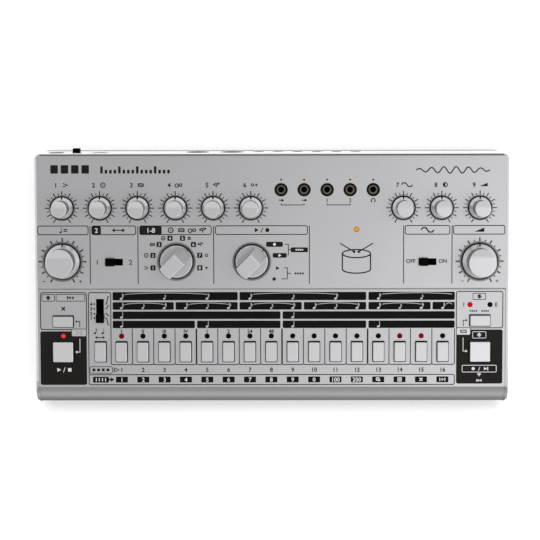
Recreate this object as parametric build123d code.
from build123d import *
import os
from math import cos, radians, sin, tan

# Drum machine in a sloped desktop case. Millimetres, +Z up, +X to the right, +Y to the rear.
# The origin is the centre of the bounding box at desk level.
# "Back" is the distance from the rear top edge down the slope of the panel. Heights named
# *_z are measured square to the panel, from its main face, and are negative inside the case.
# "Setback" is the distance from the panel's front edge, and "inset" the distance in from its nearest
# side edge; an *_x is measured from its middle.

# ---- Case
panel_width = 303.3
panel_length = 150.0
panel_tilt = 7.0
rear_height = 45.5
wall_draft = 1.1
corner_radius = 3.6
rim_radius = 1.9
rail_width = 1.9
rail_rise = 0.2
rear_margin = 2.9
step_setback = 63.8
step_run = 1.0
step_drop = 0.7
chin_reach = 9.7
chin_drop = 13.0
chin_slope = 30.0
chin_rail = 0.3
toe_setback = 1.9
foot_height = 2.5
wall = 2.5
panel_wall = 3.0
small_gap = 0.6
bottom_radius = 1.2
parting_height = 13.5
lip_height = 1.5
lip_thickness = 1.2
lip_clearance = 0.15
lip_root = 0.3
weld = 0.5

# ---- Rotary controls
shaft_radius = 3.0
shaft_fit = 0.05
knob_fit = 0.02
knob_height = 14.9
knob_sink = 0.9
well_depth = 2.2
well_floor = 1.8
well_gap = 0.55
well_wall = 1.6
dish_depth = 0.8
shaft_grip = 11.0
shaft_tail = 10.6
small_skirt_radius = 6.9
small_grip_radius = 5.0
small_dish = 0.4
small_facet = 1.5
large_skirt_radius = 10.9
large_grip_radius = 8.7
large_dish = 0.8
large_facet = 4.2
selector_skirt_radius = 10.35
selector_bar_width = 9.1
selector_bar_radius = 9.9
selector_ridge = 3.7
selector_nose_z = 3.5
selector_turn = -45.0
facet_fall = 38.0
notch_width = 1.0
notch_length = 1.2
skirt_rim = 0.2
skirt_edge = 0.5
skirt_top = 2.0
skirt_step = 0.2
grip_taper = 0.15
knob_bevel = 0.35
groove_side = 0.5
selector_disc_top = 1.6
selector_bevel = 0.3
bush_wall = 0.6
bush_gap = 0.3
shaft_end_gap = 0.2
pot_body_size = (9.8, 11.2)
pot_body_top = -5.6
switch_body_size = (12.4, 12.4)
switch_body_top = -5.2

left_column_inset = 17.75
right_column_inset = 18.85
small_row_back = 34.7
small_left_last_x = -13.3
small_right_pitch = 24.4
large_row_back = 69.0
instrument_inset = 90.65
mode_inset = 138.85

# ---- Buttons and lamps
button_rise = 2.2
button_travel = 0.6
button_corner = 0.6
flange_lip = 0.4
flange_thickness = 1.0
flange_gap = 0.3
stem_radius = 2.0
plunger_radius = 1.6
plunger_fit = 0.1
plunger_gap = 0.2
plunger_length = 1.6
plunger_well = 2.2
button_bevel = 0.3
tact_side = 6.2
tact_height = 3.6
step_count = 16
step_left_inset = 55.15
step_right_inset = 42.2
button_row_setback = 22.8
step_cap = (7.0, 12.3)
step_hole = (7.9, 13.8)
function_inset = 41.65
large_button_cap = (12.8, 12.8)
large_button_hole = (13.9, 13.9)
wide_button_cap = (12.7, 6.7)
wide_button_hole = (13.8, 8.0)
clear_setback = 42.4
tap_inset = 18.35
group_setback = 42.8
lamp_radius = 1.5
lamp_clearance = 0.2
lamp_length = 5.4
lamp_proud = 0.3
lamp_flange = (1.9, 1.0)
lamp_crown = 0.9
lamp_leg = 0.5
lamp_leg_pitch = 2.54
lamp_row_setback = 32.9
group_lamp_setback = 53.0
group_lamp_offset = 6.4
power_lamp_inset = 97.55
power_lamp_back = 48.5

# ---- Slide switches
slot_across = (11.4, 4.4)
slot_along = (5.0, 15.6)
slider_cap_across = (6.0, 5.0)
slider_cap_along = (5.2, 5.4)
slider_gap = 0.3
slider_rise = 2.0
slider_corner = 0.7
slider_bevel = 0.35
slider_end_gap = 0.15
slider_stem_inset = 0.6
slider_stem_gap = 0.3
slider_stem_lift = 3.5
slide_frame_wall = 1.5
slide_frame_top = -5.5
slide_frame_floor = 3.0
select_inset = 50.75
distortion_inset = 52.15
slot_row_back = 69.3
scale_inset = 41.45
scale_setback = 49.1
scale_pitch = 3.06

# ---- Sockets
jack_radius = 1.8
jack_depth = 11.0
panel_jack_back = 23.1
panel_jack_first_x = 6.0
panel_jack_last_gap = 19.28
panel_jack_count = 5
panel_jack_hole = 4.3
panel_jack_nose = 4.0
panel_jack_nose_z = -0.6
panel_jack_floor = 1.0
ferrule_radius = 2.8
ferrule_height = 2.1
ferrule_z = -0.3
ferrule_bevel = 0.35
panel_jack_body = (9.6, 10.4)
output_jack_first_x = -8.4
output_jack_pitch = 12.63
output_jack_count = 6
output_jack_body = (11.0, 7.4)
output_jack_hole = 3.7
output_jack_axis = 3.7
midi_xs = (-48.1, -25.6)
midi_axis = 7.9
midi_body_size = (19.0, 15.7)
midi_hole = 7.75
midi_recess_radius = 6.6
midi_recess = 2.6
midi_pin_circle = 3.5
midi_pin_radius = 0.75
midi_pin_depth = 5.0
usb_inset = 40.75
usb_shell = (12.0, 11.0)
usb_mouth = (8.4, 7.8)
usb_mouth_depth = 9.0
usb_tongue = (5.6, 3.2)
usb_tongue_setback = 4.6
usb_length = 14.6
inlet_inset = 12.55
inlet_size = (9.0, 12.2)
inlet_radius = 3.25
inlet_bore_depth = 9.5
inlet_pin_radius = 1.05
inlet_pin_setback = 4.7
power_inset = 25.65
power_button_side = 4.6
power_button_proud = 2.9
power_button_root = 2.4
power_button_bevel = 0.4
power_button_play = 0.25
power_travel = 2.0
power_body_wall = 1.5
wall_gap = 0.4
hole_gap = 0.2
button_hole_gap = 0.5
socket_length = 12.5

# ---- Boards and fasteners
board_thickness = 1.6
panel_board_z = -12.0
panel_board_rear = 17.4
panel_board_setback = 13.0
main_board_gap = 3.62
main_board_back = (3.0, 64.0)
main_board_right_x = 76.0
power_board_back = (3.0, 27.0)
power_board_width = 44.5
board_left_inset = 5.65
side_gap = 2.2
backstop_back = 15.3
backstop_thickness = 1.6
backstop_x = (-60.0, 62.0)
panel_boss_inset = 31.65
panel_boss_backs = (52.0, 92.0)
middle_bosses = ((-68.0, 10.0), (68.0, 10.0), (68.0, 52.0), (-73.5, 52.0))
left_boss_inset = 26.65
left_boss_back = 46.0
boss_radius = 3.0
small_screw_radius = 1.4
small_screw_head = (2.6, 1.8)
screw_play = 0.05
screw_hole_gap = 0.1
panel_screw_length = 7.0
main_screw_length = 8.0
power_screw_length = 5.0
spacer_radius = 2.5
spacer_height = 6.1
spacer_inset = 4.0
spacer_back = 23.0
spacer_floor = 1.0
board_boss_gap = 0.8
tall_header = (40.0, 5.0)
tall_header_place = (20.0, 40.0)
short_header = (18.0, 5.0)
case_screw_radius = 1.5
case_boss_radius = 3.5
case_post_radius = 4.5
case_joint_height = 8.0
case_screw_head = (2.8, 2.2)
case_screw_length = 12.0
case_screw_gap = 0.2
case_head_gap = 0.4
side_boss_inset = 8.65
rear_boss_inset = 59.65
rear_boss_back = 9.0
side_boss_back = 52.0
front_boss_setback = 6.0
rubber_foot_radius = 6.0
rubber_foot_recess = 0.8
rubber_foot_inset = 25.65
rubber_foot_y = 60.0
rubber_foot_bevel = 0.5

# ---- Worked out from the sizes above
tilt = radians(panel_tilt)
draft = tan(radians(wall_draft))
case_front = panel_length * cos(tilt) + step_drop * sin(tilt) + chin_reach + chin_rail
heel_depth = (rear_height - foot_height - bottom_radius) / (cos(tilt) - draft * sin(tilt))
case_rear = heel_depth * (sin(tilt) + draft * cos(tilt))
rear_edge_y = (case_front - case_rear) / 2
front_z = -step_drop
ceiling_z = -panel_wall
floor_height = foot_height + wall
step_back = panel_length - step_setback
button_row_back = panel_length - button_row_setback
clear_back = panel_length - clear_setback
group_back = panel_length - group_setback
lamp_row_back = panel_length - lamp_row_setback
group_lamp_back = panel_length - group_lamp_setback
scale_back = panel_length - scale_setback
panel_board_back = (panel_board_rear, panel_length - panel_board_setback)
main_board_foot = rear_height - main_board_back[1] * sin(tilt) - floor_height - main_board_gap
main_board_z = board_thickness - main_board_foot / cos(tilt)
power_board_z = main_board_z + spacer_height + board_thickness
output_jack_depth = -main_board_z - output_jack_axis
midi_depth = -main_board_z - midi_axis
usb_depth = -power_board_z - usb_shell[1] / 2
inlet_depth = -power_board_z - inlet_size[1] / 2
side_x = panel_width / 2
reach = 400.0  # longer than the case, for cutting tools
panel = Plane(origin=(0, rear_edge_y, rear_height), x_dir=(1, 0, 0), z_dir=(0, -sin(tilt), cos(tilt)))

small_left_names = ("accent_knob", "bass_drum_knob", "snare_drum_knob", "tom_knob",
                    "cymbal_knob", "hi_hat_knob")
small_right_names = ("distortion_knob", "tone_knob", "level_knob")
left_column_x = left_column_inset - side_x
right_column_x = side_x - right_column_inset
tap_x = side_x - tap_inset
small_right_x = right_column_x - (len(small_right_names) - 1) * small_right_pitch


def spread(first, last, count):
    """Evenly spaced places from the first to the last."""
    return [first + i * (last - first) / (count - 1) for i in range(count)]


small_left_xs = spread(left_column_x, small_left_last_x, len(small_left_names))
small_right_xs = spread(small_right_x, right_column_x, len(small_right_names))
small_knobs = {name: (x, small_row_back)
               for name, x in zip(small_left_names + small_right_names, small_left_xs + small_right_xs)}
large_knobs = {"tempo_knob": (left_column_x, large_row_back),
               "volume_knob": (right_column_x, large_row_back)}
selectors = {"instrument_selector": (instrument_inset - side_x, large_row_back),
             "mode_selector": (mode_inset - side_x, large_row_back)}
step_xs = spread(step_left_inset - side_x, side_x - step_right_inset, step_count)
buttons = {f"step_button_{i + 1:02d}": (x, button_row_back, step_cap, step_hole)
           for i, x in enumerate(step_xs)}
buttons |= {
    "function_button": (function_inset - side_x, button_row_back, step_cap, step_hole),
    "start_stop_button": (left_column_x, button_row_back, large_button_cap, large_button_hole),
    "clear_button": (left_column_x, clear_back, wide_button_cap, wide_button_hole),
    "pattern_group_button": (tap_x, group_back, wide_button_cap, wide_button_hole),
    "tap_button": (tap_x, button_row_back, large_button_cap, large_button_hole),
}
step_lamps = [(x, lamp_row_back, front_z) for x in step_xs]
other_lamps = [(left_column_x, lamp_row_back, front_z)]
other_lamps += [(tap_x + way * group_lamp_offset, group_lamp_back, front_z) for way in (-1, 1)]
other_lamps += [(side_x - power_lamp_inset, power_lamp_back, 0.0)]
panel_jacks = [(x, panel_jack_back)
               for x in spread(panel_jack_first_x, small_right_x - panel_jack_last_gap, panel_jack_count)]
output_jacks = [output_jack_first_x + i * output_jack_pitch for i in range(output_jack_count)]
sliders = {
    "select_slider": ((select_inset - side_x, slot_row_back), slot_across, slider_cap_across, 0.0),
    "distortion_slider": ((side_x - distortion_inset, slot_row_back), slot_across, slider_cap_across, 0.0),
    "scale_slider": ((scale_inset - side_x, scale_back), slot_along, slider_cap_along, front_z),
}
usb_x = usb_inset - side_x
inlet_x = inlet_inset - side_x
power_x = power_inset - side_x
board_left_x = board_left_inset - side_x
main_board_x = (board_left_x, main_board_right_x)
power_board_x = (board_left_x, board_left_x + power_board_width)
power_spacers = [(power_board_x[0] + spacer_inset, spacer_back),
                 (power_board_x[1] - spacer_inset, spacer_back)]
panel_boss_xs = spread(panel_boss_inset - side_x, side_x - panel_boss_inset, 4)
main_bosses = [*middle_bosses, (left_boss_inset - side_x, left_boss_back)]
side_boss_x = side_x - side_boss_inset
rear_boss_x = side_x - rear_boss_inset
front_boss_back = panel_length - front_boss_setback
case_bosses = [(-rear_boss_x, rear_boss_back), (rear_boss_x, rear_boss_back)]
case_bosses += [(-side_boss_x, side_boss_back), (side_boss_x, side_boss_back)]
case_bosses += [(x, front_boss_back) for x in (-side_boss_x, 0.0, side_boss_x)]
rubber_foot_x = side_x - rubber_foot_inset
rubber_feet = [(x, y) for y in (-rubber_foot_y, rubber_foot_y) for x in (-rubber_foot_x, rubber_foot_x)]


# ---- Helpers
def disc(radius, low, high):
    """A cylinder about Z between two heights."""
    return Pos(0, 0, (low + high) / 2) * Cylinder(radius, high - low)


def block(width, length, low, high):
    """A box about Z between two heights."""
    return Pos(0, 0, (low + high) / 2) * Box(width, length, high - low)


def cone(low_radius, high_radius, low, high):
    """A cone frustum about Z between two heights."""
    return Pos(0, 0, (low + high) / 2) * Cone(low_radius, high_radius, high - low)


def at(x, back, z=0.0):
    """A place on the sloped panel, with Z square to the panel."""
    return panel.location * Pos(x, -back, z)


def at_rear(x, depth):
    """A place on the rear wall, with Z pointing out to the rear and Y pointing down."""
    return panel.location * Pos(x, 0, -depth) * Rot(-90, 0, 0)


def slope_point(back, z):
    """World (Y, Z) of a point of the panel's cross-section."""
    return (rear_edge_y - back * cos(tilt) - z * sin(tilt),
            rear_height - back * sin(tilt) + z * cos(tilt))


def rear_face(depth):
    """How far the drafted rear wall stands out at a depth below the panel."""
    return draft * depth


def between(xs, backs, top_z, thickness):
    """A board parallel to the panel."""
    width = xs[1] - xs[0]
    length = backs[1] - backs[0]
    board = block(width, length, top_z - thickness, top_z)
    return at(sum(xs) / 2, sum(backs) / 2) * board


def join(shapes):
    """One group of separate solids."""
    return Compound(children=[s for shape in shapes for s in shape.solids()])


def write(name, shape):
    """Write one node."""
    export_step(shape, f"parts/{name}.step")


# ---- Case shells
def chin_curve(crease, nose):
    """The rounded front below the panel, leaving the crease at the chin's slope."""
    way = (-cos(radians(chin_slope)), -sin(radians(chin_slope)))
    return TangentArc(crease, nose, tangent=way)


def case_profile():
    """Cross-section between the outer faces of the side rails, open to the rear and above."""
    crease = slope_point(panel_length, front_z)
    crease = (crease[0], crease[1] + step_drop + rail_rise)
    nose = (crease[0] - chin_reach - chin_rail, crease[1] - chin_drop)
    toe = (nose[0] + toe_setback, foot_height)
    lead = (crease[0] + 10 * cos(radians(chin_slope)), crease[1] + 10 * sin(radians(chin_slope)))
    high, far = rear_height + reach / 4, rear_edge_y + reach / 4
    points = [nose, toe, (far, foot_height), (far, high), (lead[0], high), lead, crease]
    edges = [Line(a, b) for a, b in zip(points, points[1:])] + [chin_curve(crease, nose)]
    return make_face([Plane.YZ * e for e in edges])


def panel_cut():
    """What lies above the panel and in front of the chin, between the two side rails."""
    crease = slope_point(panel_length, front_z)
    nose = (crease[0] - chin_reach, crease[1] - chin_drop)
    toe = (nose[0] + toe_setback - chin_rail, foot_height)
    high, front = rear_height + reach / 4, nose[0] - reach / 4
    top = slope_point(rear_margin, 0)
    upper = [(top[0], high), top, slope_point(step_back, 0),
             slope_point(step_back + step_run, front_z), crease]
    lower = [nose, toe, (front, foot_height), (front, high), (top[0], high)]
    edges = [Line(a, b) for a, b in zip(upper, upper[1:])] + [chin_curve(crease, nose)]
    edges += [Line(a, b) for a, b in zip(lower, lower[1:])]
    face = make_face([Plane.YZ * e for e in edges])
    return extrude(face, side_x - rail_width, both=True)


def plan_prism(inset, rim):
    """The case seen square to the panel: a rounded rectangle whose walls lean out by the draft."""
    depth = rear_height + reach / 20
    front = panel_length + chin_reach + chin_drop * sin(tilt) + chin_rail
    ends = []
    for low, grow in ((0.0, 0.0), (depth, depth * draft)):
        width = panel_width + 2 * (grow - inset)
        length = front + 2 * (grow - inset)
        corner = max(corner_radius - inset, 1.0) + grow
        ends.append(Pos(0, -front / 2, rail_rise - low) * RectangleRounded(width, length, corner))
    prism = loft(ends, ruled=True)
    if rim:
        prism = fillet(prism.faces().sort_by(Axis.Z)[-1].edges(), rim)
    return panel.location * prism


def case_outside():
    """The closed outer form of the case."""
    form = extrude(case_profile(), reach / 2, both=True) & plan_prism(0.0, rim_radius)
    form = fillet([e for e in form.edges() if abs(e.center().Z - foot_height) < 0.01], bottom_radius)
    return form - panel_cut()


def case_inside(inset):
    """The hollow of the case, with its walls moved in by the inset."""
    section = offset(case_profile(), amount=-inset)
    form = extrude(section, reach / 2, both=True) & plan_prism(inset, 0.0)
    return form & at(0, 0) * block(reach, 2 * reach, -reach, ceiling_z)


def level_slab(low, high):
    """Everything between two heights above the desk."""
    return block(reach, reach, low, high)


def upright(place, radius, low, high):
    """A vertical cylinder at a place given as X and distance in front of the rear top edge."""
    return Pos(place[0], rear_edge_y - place[1]) * disc(radius, low, high)


def well_cutter(skirt_radius, dish):
    """The round well that a knob's skirt turns in, with its dished edge and the shaft hole."""
    radius = skirt_radius + well_gap
    cutter = disc(radius, -well_depth, 1.0)
    cutter += cone(radius, radius + dish, -dish_depth, 0.0)
    cutter += disc(radius + dish, 0.0, 1.0)
    return cutter + disc(shaft_radius + well_gap, -reach / 20, 0.0)


def case_shells():
    """The upper and lower housings."""
    outside = case_outside()
    hollow = case_inside(wall)
    shell = outside - hollow
    upper = shell & level_slab(parting_height, reach)
    lower = shell & level_slab(0, parting_height)

    skin = outside & at(0, 0) * block(reach, 2 * reach, -reach, ceiling_z + weld)
    wells = [(*place, small_skirt_radius, small_dish) for place in small_knobs.values()]
    wells += [(*place, large_skirt_radius, large_dish) for place in large_knobs.values()]
    wells += [(*place, selector_skirt_radius, large_dish) for place in selectors.values()]
    additions = [at(x, back) * disc(skirt + well_gap + well_wall, -well_depth - well_floor, ceiling_z + weld)
                 for x, back, skirt, dish in wells]
    additions += [at(x, back) * disc(boss_radius, panel_board_z, ceiling_z + weld)
                  for x in panel_boss_xs for back in panel_boss_backs]
    additions += [at(*place) * disc(boss_radius, main_board_z, ceiling_z + weld) for place in main_bosses]
    additions.append(between(backstop_x, (backstop_back, backstop_back + backstop_thickness),
                             ceiling_z + weld, ceiling_z + weld - main_board_z - small_gap))
    additions += [upright(place, case_boss_radius, case_joint_height, rear_height) & skin
                  for place in case_bosses]
    upper = upper + additions

    pilot = small_screw_radius + screw_play
    cutters = [at(x, back) * well_cutter(skirt, dish) for x, back, skirt, dish in wells]
    cutters += [at(x, back) * disc(pilot, panel_board_z - 1.0, ceiling_z - 2.0)
                for x in panel_boss_xs for back in panel_boss_backs]
    cutters += [at(*place) * disc(pilot, main_board_z - 1.0, main_board_z + 8.0) for place in main_bosses]
    cutters += [upright(place, case_screw_radius + screw_play, case_joint_height - 1.0,
                        case_joint_height + case_screw_length - wall)
                for place in case_bosses]
    for x, back, cap, hole in buttons.values():
        opening = extrude(RectangleRounded(*hole, button_corner), amount=reach / 40, both=True)
        cutters.append(at(x, back) * opening)
    cutters += [at(x, back) * disc(lamp_radius + lamp_clearance, -reach / 40, 1.0)
                for x, back, surface in step_lamps + other_lamps]
    cutters += [at(x, back) * disc(panel_jack_hole, ceiling_z - 1.0, 1.0) for x, back in panel_jacks]
    for place, slot, cap, surface in sliders.values():
        cutters.append(at(*place) * block(*slot, ceiling_z - 1.0, 1.0))
    cutters += rear_wall_cutters()
    upper = upper - cutters

    root = case_inside(wall - lip_root) - case_inside(wall + lip_clearance + lip_thickness)
    tongue = case_inside(wall + lip_clearance) - case_inside(wall + lip_clearance + lip_thickness)
    lower = lower + (root & level_slab(parting_height - lip_height, parting_height))
    lower = lower + (tongue & level_slab(parting_height - lip_height, parting_height + lip_height))
    lower = lower + [upright(place, case_post_radius, foot_height, case_joint_height)
                     for place in case_bosses]
    head_radius, head_height = case_screw_head
    lower = lower - [upright(place, head_radius + case_head_gap, 0, foot_height + head_height + wall_gap)
                     for place in case_bosses]
    lower = lower - [upright(place, case_screw_radius + case_screw_gap, 0, case_joint_height + 1)
                     for place in case_bosses]
    lower = lower - [Pos(x, y) * disc(rubber_foot_radius, 0, foot_height + rubber_foot_recess)
                     for x, y in rubber_feet]
    return upper, lower


def rear_wall_cutters():
    """The openings of the rear wall, each a tool through it."""
    inner, outer = -wall - small_gap, wall
    cutters = [at_rear(x, output_jack_depth) * disc(output_jack_hole, inner, outer) for x in output_jacks]
    cutters += [at_rear(x, midi_depth) * disc(midi_hole, inner, outer) for x in midi_xs]
    usb_hole = block(usb_shell[0] + 2 * hole_gap, usb_shell[1] + 2 * hole_gap, inner, outer)
    inlet_hole = block(inlet_size[0] + 2 * hole_gap, inlet_size[1] + 2 * hole_gap, inner, outer)
    button_side = power_button_side + 2 * button_hole_gap
    button_hole = block(button_side, button_side, inner, outer)
    cutters.append(at_rear(usb_x, usb_depth) * usb_hole)
    cutters.append(at_rear(inlet_x, inlet_depth) * inlet_hole)
    cutters.append(at_rear(power_x, inlet_depth) * button_hole)
    return cutters


# ---- Knobs, each with its shaft
def shaft():
    """The control's metal shaft, from inside its body up into the knob."""
    return disc(shaft_radius, -shaft_tail, shaft_grip)


def shaft_bore():
    """The blind bore of a knob, whose end rests on the shaft."""
    return disc(shaft_radius + knob_fit, -knob_sink - 1.0, shaft_grip)


def pointer_notch(skirt_radius):
    """The dark notch in a skirt's edge that points at the scale."""
    return Pos(0, skirt_radius) * block(notch_width, 2 * notch_length, -knob_sink - 1.0, 2.0)


def round_knob(skirt_radius, grip_radius, facet):
    """A skirted knob whose top has one sloped facet on the pointer's side."""
    foot_radius = grip_radius + grip_taper
    points = [(0, -knob_sink), (skirt_radius - skirt_rim, -knob_sink),
              (skirt_radius, -knob_sink + skirt_rim), (skirt_radius, skirt_edge),
              (foot_radius + skirt_step, skirt_top), (foot_radius, skirt_top),
              (grip_radius, knob_height - knob_bevel), (grip_radius - knob_bevel, knob_height),
              (0, knob_height)]
    half = make_face(Plane.XZ * Polyline(*points, close=True))
    knob = revolve(half, Axis.Z)
    slope = Pos(0, facet, knob_height) * Rot(-facet_fall, 0, 0)
    knob -= slope * Pos(0, grip_radius, reach / 40) * Box(reach / 10, 2 * grip_radius, reach / 20)
    knob -= Pos(0, facet, knob_height) * Box(reach / 10, groove_side, groove_side)
    return knob - pointer_notch(skirt_radius) - shaft_bore()


def selector_knob():
    """A disc skirt with a bar grip across it, which slopes down towards the pointer."""
    skirt = disc(selector_skirt_radius, -knob_sink, selector_disc_top)
    skirt = chamfer(skirt.edges().sort_by(Axis.Z)[-1], skirt_edge)
    bar = disc(selector_bar_radius, 0, knob_height) & block(selector_bar_width, reach / 10, 0, knob_height)
    side = Polyline((selector_ridge, knob_height), (selector_bar_radius, selector_nose_z),
                    (reach / 10, selector_nose_z - 1), (reach / 10, knob_height + 1),
                    (selector_ridge, knob_height + 1), close=True)
    bar -= extrude(make_face(Plane.YZ * side), reach / 20, both=True)
    top = bar.faces().filter_by(Axis.Z).sort_by(Axis.Z)[-1]
    bar = chamfer(top.edges(), selector_bevel)
    knob = skirt + bar - pointer_notch(selector_skirt_radius) - shaft_bore()
    return Rot(0, 0, selector_turn) * knob


def control_body(size, top):
    """A potentiometer or rotary switch on the panel board, with its bush and the hole for the shaft."""
    body = block(*size, panel_board_z, top)
    body += disc(shaft_radius + bush_wall, top - weld, -well_depth - well_floor - bush_gap)
    return body - disc(shaft_radius + shaft_fit, -shaft_tail - shaft_end_gap, 0)


# ---- Buttons, lamps and switches
def push_button(cap, hole):
    """A button cap with its retaining flange and stem, and the switch plunger under it."""
    top, flange_top = front_z + button_rise, ceiling_z - flange_gap
    flange_low = flange_top - flange_thickness
    body = extrude(Pos(0, 0, flange_low) * RectangleRounded(*cap, button_corner), top - flange_low)
    body = chamfer(body.faces().sort_by(Axis.Z)[-1].edges(), button_bevel)
    body += block(hole[0] + 2 * flange_lip, hole[1] + 2 * flange_lip, flange_low, flange_top)
    stem_end = panel_board_z + tact_height + button_travel + plunger_gap
    body += disc(stem_radius, stem_end, flange_low)
    plunger = disc(plunger_radius, stem_end - plunger_length, stem_end)
    return [body, plunger]


def tact_switch():
    """A push switch's body on the panel board, hollow for its plunger."""
    top = panel_board_z + tact_height
    cavity = disc(plunger_radius + plunger_fit, top - plunger_well, top + 1.0)
    return block(tact_side, tact_side, panel_board_z, top) - cavity


def lamp(surface):
    """A round lamp with its flange and two legs down to the panel board."""
    top = surface + lamp_proud
    flange = top - lamp_length
    body = disc(lamp_radius, flange, top)
    body = fillet(body.edges().sort_by(Axis.Z)[-1], lamp_crown)
    flange_radius, thickness = lamp_flange
    body += disc(flange_radius, flange - thickness, flange)
    for x in (-lamp_leg_pitch / 2, lamp_leg_pitch / 2):
        body += Pos(x, 0) * block(lamp_leg, lamp_leg, panel_board_z, flange - thickness / 2)
    return body


def slider_travel(slot, cap):
    """How far a slide switch's cap can move along its slot."""
    return max(slot[0] - cap[0], slot[1] - cap[1]) - 2 * slider_end_gap


def slider_place(name):
    """Where a slider's cap stands at rest: at the left, or at the first scale position."""
    (x, back), slot, cap, surface = sliders[name]
    if slot[0] > slot[1]:
        return x - slider_travel(slot, cap) / 2, back
    return x, back + 1.5 * scale_pitch


def slider(name):
    """A slide switch's cap on its stem."""
    place, slot, cap, surface = sliders[name]
    if slot[0] > slot[1]:
        stem = (cap[0] - 2 * slider_stem_inset, slot[1] - 2 * slider_stem_gap)
    else:
        stem = (slot[0] - 2 * slider_stem_gap, cap[1] - 2 * slider_stem_inset)
    under = surface + slider_gap
    body = extrude(Pos(0, 0, under) * RectangleRounded(*cap, slider_corner), slider_rise)
    body = chamfer(body.faces().sort_by(Axis.Z)[-1].edges(), slider_bevel)
    body += block(*stem, panel_board_z + slider_stem_lift, under + weld)
    return at(*slider_place(name)) * body


def slide_switch_body(name):
    """A slide switch's metal frame on the panel board, with a groove for the slider's stem."""
    place, slot, cap, surface = sliders[name]
    width, length = slot[0] + 2 * slide_frame_wall, slot[1] + 2 * slide_frame_wall
    frame = block(width, length, panel_board_z, slide_frame_top)
    groove = block(*slot, panel_board_z + slide_frame_floor, 0)
    return at(*place) * (frame - groove)


# ---- Sockets
def panel_jack():
    """A jack socket standing on the panel board, with its nose in the panel's hole."""
    body_top = ceiling_z - wall_gap
    body = block(*panel_jack_body, panel_board_z, body_top)
    body += disc(panel_jack_nose, body_top - weld, panel_jack_nose_z)
    body -= disc(ferrule_radius, ferrule_z - ferrule_height, 0)
    return body - disc(jack_radius, panel_board_z + panel_jack_floor, 0)


def jack_ferrule():
    """The bright ring in a panel jack's nose."""
    ring = disc(ferrule_radius, ferrule_z - ferrule_height, ferrule_z) - disc(jack_radius, -reach / 20, 1.0)
    inner_top = ring.edges().filter_by(GeomType.CIRCLE).group_by(Axis.Z)[-1]
    return chamfer(inner_top.sort_by(SortBy.RADIUS)[0], ferrule_bevel)


def output_jack(x):
    """A jack socket lying on the main board behind the rear wall."""
    face = rear_face(output_jack_depth) - wall - wall_gap
    drop = output_jack_axis - output_jack_body[1] / 2
    body = Pos(0, drop) * block(*output_jack_body, face - socket_length, face)
    return at_rear(x, output_jack_depth) * (body - disc(jack_radius, face - jack_depth, face + 1.0))


def midi_socket(x):
    """A five-pin round socket on the main board."""
    face = rear_face(midi_depth) - wall - wall_gap
    drop = midi_axis - midi_body_size[1] / 2
    body = Pos(0, drop) * block(*midi_body_size, face - socket_length, face)
    body -= disc(midi_recess_radius, face - midi_recess, face + 1.0)
    pins = [Rot(0, 0, angle) * Pos(0, -midi_pin_circle) * disc(midi_pin_radius, face - midi_pin_depth, face)
            for angle in (-90, -45, 0, 45, 90)]
    return at_rear(x, midi_depth) * (body - pins)


def usb_socket():
    """A square USB socket: a metal shell with a tongue set back in its mouth."""
    face = rear_face(usb_depth)
    shell = block(*usb_shell, face - usb_length, face)
    shell -= block(*usb_mouth, face - usb_mouth_depth, face + 1.0)
    tongue = block(*usb_tongue, face - usb_mouth_depth - weld, face - usb_tongue_setback)
    return at_rear(usb_x, usb_depth) * (shell + tongue)


def power_inlet():
    """The low-voltage inlet: a round recess with a centre pin."""
    face = rear_face(inlet_depth)
    body = block(*inlet_size, face - socket_length, face)
    body -= disc(inlet_radius, face - inlet_bore_depth, face + 1.0)
    body += disc(inlet_pin_radius, face - inlet_bore_depth - weld, face - inlet_pin_setback)
    return at_rear(inlet_x, inlet_depth) * body


def power_switch():
    """The power switch's body, hollow for its button, and the button."""
    face = rear_face(inlet_depth) - wall - wall_gap
    side = power_button_side
    hollow = side + 2 * power_button_play
    root = face - power_button_root
    body = block(side + 2 * power_body_wall, inlet_size[1], face - socket_length, face)
    body -= block(hollow, hollow, root - power_travel - wall_gap, face + 1.0)
    button = block(side, side, root, rear_face(inlet_depth) + power_button_proud)
    button = chamfer(button.faces().sort_by(Axis.Z)[-1].edges(), power_button_bevel)
    place = at_rear(power_x, inlet_depth)
    return place * body, place * button


# ---- Boards, fasteners, headers, feet
def clear_of_bosses(board):
    """A board with holes where the housing's long bosses pass."""
    board -= [upright(place, case_boss_radius + 2 * wall_gap, 0, rear_height) for place in case_bosses]
    return board


def boards():
    """The panel board, the main board and the power board."""
    inside = side_x - wall - side_gap
    panel_board = between((-inside, inside), panel_board_back, panel_board_z, board_thickness)
    panel_board = clear_of_bosses(panel_board)
    low, high = panel_board_z - board_thickness - 1, panel_board_z + 1
    passing = [place for place in main_bosses if place[1] > panel_board_back[0]]
    hole = small_screw_radius + screw_hole_gap
    panel_board -= [at(*place) * disc(boss_radius + board_boss_gap, low, high) for place in passing]
    panel_board -= [at(x, back) * disc(hole, low, high) for x in panel_boss_xs for back in panel_boss_backs]
    main_board = clear_of_bosses(between(main_board_x, main_board_back, main_board_z, board_thickness))
    main_board -= [at(*place) * disc(hole, main_board_z - 3, main_board_z + 1) for place in main_bosses]
    power_board = between(power_board_x, power_board_back, power_board_z, board_thickness)
    power_board -= [at(*place) * disc(hole, power_board_z - 3, power_board_z + 1) for place in power_spacers]
    return panel_board, main_board, power_board


def board_screw(seat, length, up):
    """A pan-head screw against a board's face, its shank up into a boss or down into a spacer."""
    way = 1 if up else -1
    head_radius, head_height = small_screw_head
    head_low, head_high = sorted((seat, seat - head_height * way))
    shank_low, shank_high = sorted((seat - weld * way, seat + length * way))
    return disc(head_radius, head_low, head_high) + disc(small_screw_radius, shank_low, shank_high)


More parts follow.
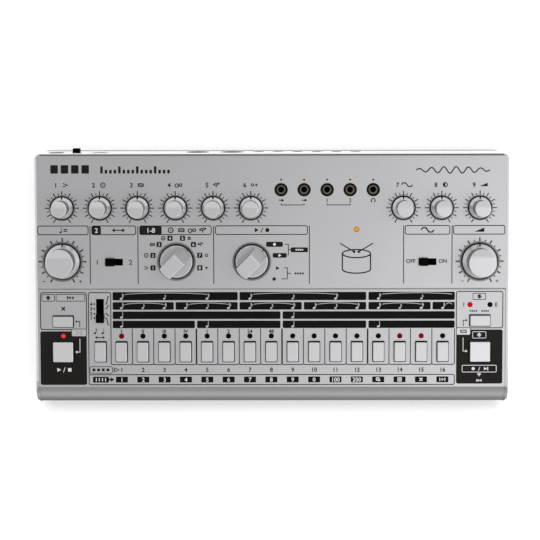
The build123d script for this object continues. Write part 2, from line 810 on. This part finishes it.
def board_fasteners():
    """The screws that hold the boards, and the power board's spacers."""
    panel_seat, main_seat = panel_board_z - board_thickness, main_board_z - board_thickness
    parts = [at(x, back) * board_screw(panel_seat, panel_screw_length, True)
             for x in panel_boss_xs for back in panel_boss_backs]
    parts += [at(*place) * board_screw(main_seat, main_screw_length, True) for place in main_bosses]
    spacer = disc(spacer_radius, main_board_z, power_board_z - board_thickness)
    spacer -= disc(small_screw_radius + screw_play, main_board_z + spacer_floor, 0)
    parts += [at(*place) * spacer for place in power_spacers]
    parts += [at(*place) * board_screw(power_board_z, power_screw_length, False) for place in power_spacers]
    return join(parts)


def board_headers():
    """The plug strips that join the panel board and the power board to the main board."""
    tall = block(*tall_header, main_board_z, panel_board_z - board_thickness)
    short = block(*short_header, main_board_z, power_board_z - board_thickness)
    return join([at(*tall_header_place) * tall, at(sum(power_board_x) / 2, spacer_back) * short])


def case_screw(place):
    """A case screw in its recess, from below."""
    head_radius, head_height = case_screw_head
    seat = foot_height + head_height + wall_gap
    head = upright(place, head_radius, seat - head_height, seat)
    tip = case_joint_height + case_screw_length - wall - 1
    return head + upright(place, case_screw_radius, seat - weld, tip)


def rubber_foot(x, y):
    """A rubber foot seated in its shallow recess."""
    foot = disc(rubber_foot_radius, 0, foot_height + rubber_foot_recess)
    return Pos(x, y) * chamfer(foot.edges().sort_by(Axis.Z)[0], rubber_foot_bevel)


# ---- Write every node
os.makedirs("parts", exist_ok=True)

upper_housing, lower_housing = case_shells()
write("upper_housing", upper_housing)
write("lower_housing", lower_housing)
write("rubber_feet", join([rubber_foot(x, y) for x, y in rubber_feet]))
write("case_screws", join([case_screw(place) for place in case_bosses]))

for board_name, board in zip(("panel_board", "main_board", "power_board"), boards()):
    write(board_name, board)
write("board_fasteners", board_fasteners())
write("board_headers", board_headers())

round_places = {**small_knobs, **large_knobs}
pot_body = control_body(pot_body_size, pot_body_top)
switch_body = control_body(switch_body_size, switch_body_top)
write("pot_bodies", join([at(*place) * pot_body for place in round_places.values()]))
write("rotary_switch_bodies", join([at(*place) * switch_body for place in selectors.values()]))
write("tact_switches", join([at(x, back) * tact_switch() for x, back, cap, hole in buttons.values()]))
write("slide_switch_bodies", join([slide_switch_body(name) for name in sliders]))
write("step_leds", join([at(x, back) * lamp(surface) for x, back, surface in step_lamps]))
write("indicator_leds", join([at(x, back) * lamp(surface) for x, back, surface in other_lamps]))

write("panel_jacks", join([at(*place) * panel_jack() for place in panel_jacks]))
write("panel_jack_ferrules", join([at(*place) * jack_ferrule() for place in panel_jacks]))
write("output_jacks", join([output_jack(x) for x in output_jacks]))
write("midi_sockets", join([midi_socket(x) for x in midi_xs]))
write("usb_socket", usb_socket())
write("power_inlet", power_inlet())
power_switch_body, power_button = power_switch()
write("power_switch_body", power_switch_body)
write("power_button", power_button)

small_knob = round_knob(small_skirt_radius, small_grip_radius, small_facet)
large_knob = round_knob(large_skirt_radius, large_grip_radius, large_facet)
for kind, places in ((small_knob, small_knobs), (large_knob, large_knobs), (selector_knob(), selectors)):
    for name, place in places.items():
        write(name, join([at(*place) * kind, at(*place) * shaft()]))

for name in sliders:
    write(name, slider(name))

for name, (x, back, cap, hole) in buttons.items():
    write(name, join([at(x, back) * piece for piece in push_button(cap, hole)]))
